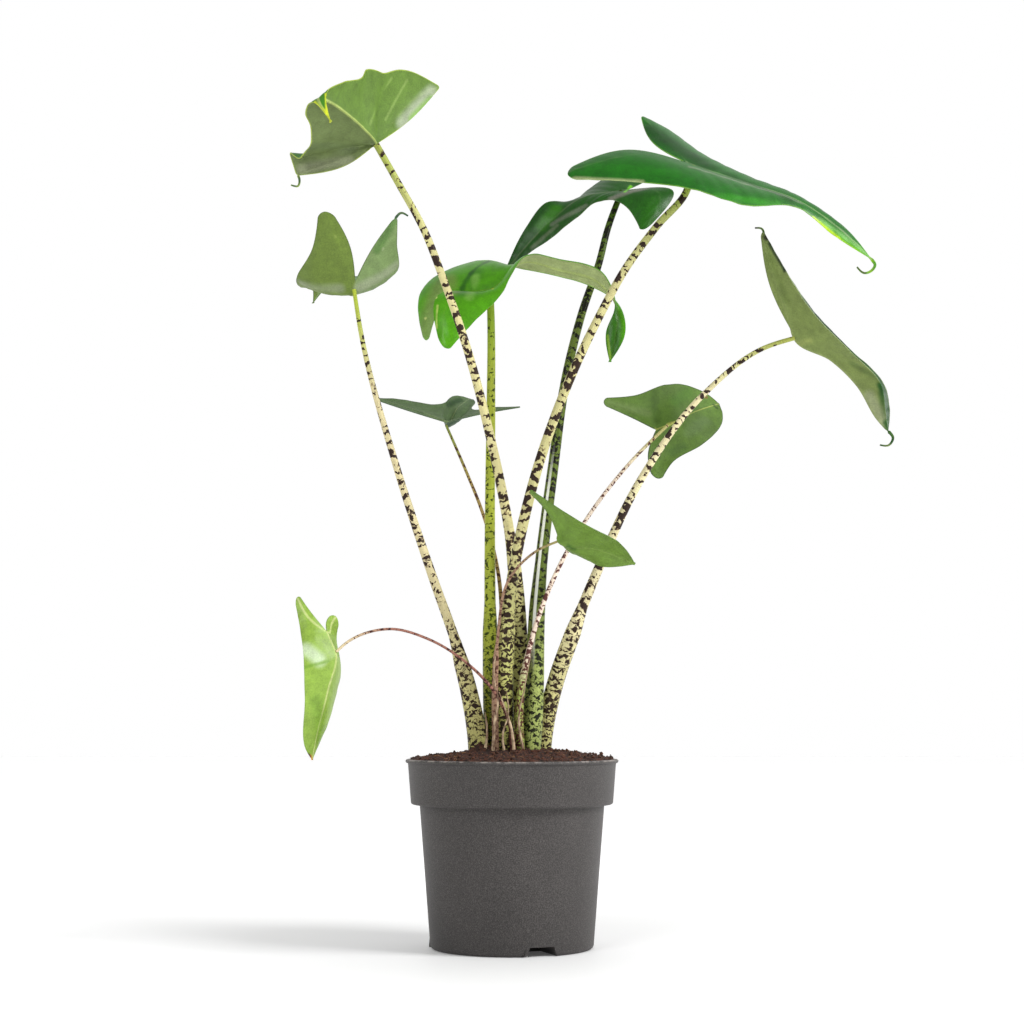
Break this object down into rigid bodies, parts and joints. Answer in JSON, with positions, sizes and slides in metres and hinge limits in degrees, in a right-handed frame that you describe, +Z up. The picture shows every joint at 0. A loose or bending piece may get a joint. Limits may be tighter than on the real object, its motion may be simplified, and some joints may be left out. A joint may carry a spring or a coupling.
{
  "type": "potted alocasia zebrina plant",
  "caption": "Alocasia zebrina house plant with striped leaf stalks and arrowhead leaves, in a round plastic grower's pot.",
  "frame": {"origin": "middle of the pot's flat underside, on the pot's axis", "axes": "+Z up along the pot's axis, -Y towards the viewer, +X to the right in the picture"},
  "size_m": [0.4897, 0.2613, 0.702],
  "materials": {
    "pot_plastic": "satin, finely speckled",
    "peat": "matte, crumbly",
    "stalk_cream": "satin, blotched across in maroon black",
    "stalk_green": "glossy, finely speckled",
    "stalk_dark": "satin, blotched in black",
    "stalk_pink": "satin, dashed in red brown",
    "blade_olive": "satin underside, glossy upper face",
    "blade_pale_olive": "satin underside, glossy upper face",
    "blade_fresh": "glossy",
    "blade_dark": "glossy",
    "blade_rich": "glossy",
    "blade_young": "glossy"
  },
  "bodies": {
    "root": {"pot": "pot_plastic", "soil": "peat", "petiole_1": "stalk_cream", "petiole_2": "stalk_cream", "petiole_3": "stalk_green", "petiole_4": "stalk_dark", "petiole_5": "stalk_cream", "petiole_6": "stalk_cream", "petiole_7": "stalk_pink", "petiole_8": "stalk_pink", "petiole_9": "stalk_pink", "petiole_10": "stalk_pink", "blade_1": "blade_olive", "blade_2": "blade_pale_olive", "blade_3": "blade_fresh", "blade_4": "blade_dark", "blade_5": "blade_rich", "blade_6": "blade_olive", "blade_7": "blade_olive", "blade_8": "blade_olive", "blade_9": "blade_olive", "blade_10": "blade_young"}
  },
  "joints": []
}
